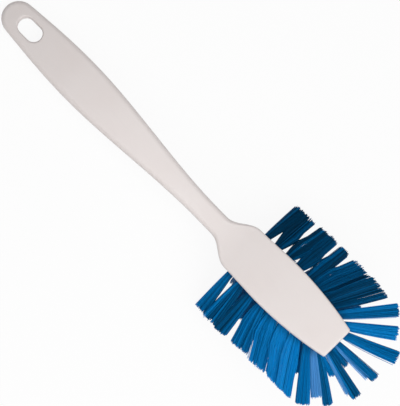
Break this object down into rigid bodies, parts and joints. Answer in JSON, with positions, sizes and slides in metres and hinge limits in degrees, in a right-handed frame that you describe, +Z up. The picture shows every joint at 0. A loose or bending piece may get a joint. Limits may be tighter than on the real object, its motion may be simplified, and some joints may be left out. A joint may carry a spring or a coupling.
{
  "type": "dish brush",
  "caption": "Dish brush with a one-piece plastic handle and head, a hanging slot in the tail and a fan of splayed bristle tufts around the head and toe.",
  "frame": {"origin": "centre of the footprint, on the surface that the brush lies on", "axes": "+X along the brush from the tail to the toe, +Y to its left, +Z up; the brush lies bristles down on its tail and its heel bristle tips"},
  "size_m": [0.2822, 0.081, 0.0693],
  "materials": {
    "handle_plastic": "satin warm white polypropylene",
    "bristle_plastic": "blue polyester filament, slightly glossy",
    "anchor_steel": "plain rolled strip"
  },
  "bodies": {
    "root": {"handle": "handle_plastic", "left_side_bristles": "bristle_plastic", "right_side_bristles": "bristle_plastic", "toe_bristles": "bristle_plastic", "centre_bristles": "bristle_plastic", "left_side_anchor_1": "anchor_steel", "left_side_anchor_2": "anchor_steel", "left_side_anchor_3": "anchor_steel", "left_side_anchor_4": "anchor_steel", "left_side_anchor_5": "anchor_steel", "left_side_anchor_6": "anchor_steel", "left_side_anchor_7": "anchor_steel", "right_side_anchor_1": "anchor_steel", "right_side_anchor_2": "anchor_steel", "right_side_anchor_3": "anchor_steel", "right_side_anchor_4": "anchor_steel", "right_side_anchor_5": "anchor_steel", "right_side_anchor_6": "anchor_steel", "right_side_anchor_7": "anchor_steel", "toe_anchor_1": "anchor_steel", "toe_anchor_2": "anchor_steel", "toe_anchor_3": "anchor_steel", "toe_anchor_4": "anchor_steel", "toe_anchor_5": "anchor_steel", "toe_anchor_6": "anchor_steel", "toe_anchor_7": "anchor_steel", "centre_anchor_1": "anchor_steel", "centre_anchor_2": "anchor_steel", "centre_anchor_3": "anchor_steel", "centre_anchor_4": "anchor_steel", "centre_anchor_5": "anchor_steel", "centre_anchor_6": "anchor_steel", "centre_anchor_7": "anchor_steel", "centre_anchor_8": "anchor_steel", "centre_anchor_9": "anchor_steel", "centre_anchor_10": "anchor_steel", "centre_anchor_11": "anchor_steel", "centre_anchor_12": "anchor_steel", "centre_anchor_13": "anchor_steel", "centre_anchor_14": "anchor_steel", "centre_anchor_15": "anchor_steel"}
  },
  "joints": []
}
